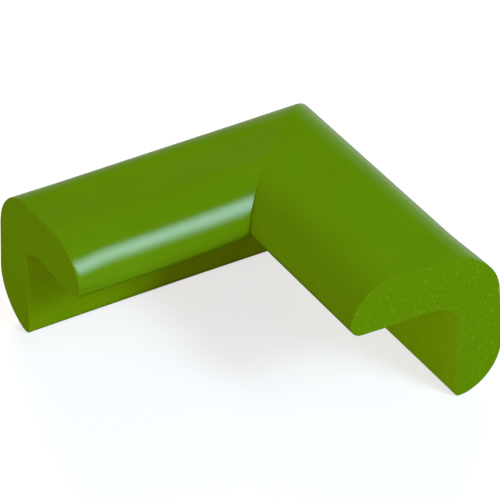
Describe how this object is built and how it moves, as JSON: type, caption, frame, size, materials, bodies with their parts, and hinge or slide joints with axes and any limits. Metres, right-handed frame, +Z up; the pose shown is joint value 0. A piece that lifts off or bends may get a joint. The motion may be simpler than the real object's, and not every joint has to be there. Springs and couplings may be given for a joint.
{
  "type": "furniture corner protector",
  "caption": "Soft foam corner guard: mitred arms at a right angle, rounded outside, with a square notch that sits over the edges of a table top or shelf.",
  "frame": {"origin": "the inner corner of the notch, where the tip of the furniture's upper corner sits: the contact faces of both arms and of the top lips meet there", "axes": "+Z up, out of the furniture's upper face; one arm runs along -X against an edge that faces +Y, the other runs along -Y against an edge that faces +X; +X and +Y point away from the furniture"},
  "size_m": [0.078, 0.078, 0.037],
  "materials": {
    "foam": "satin"
  },
  "bodies": {
    "root": {"corner_protector": "foam"}
  },
  "joints": []
}
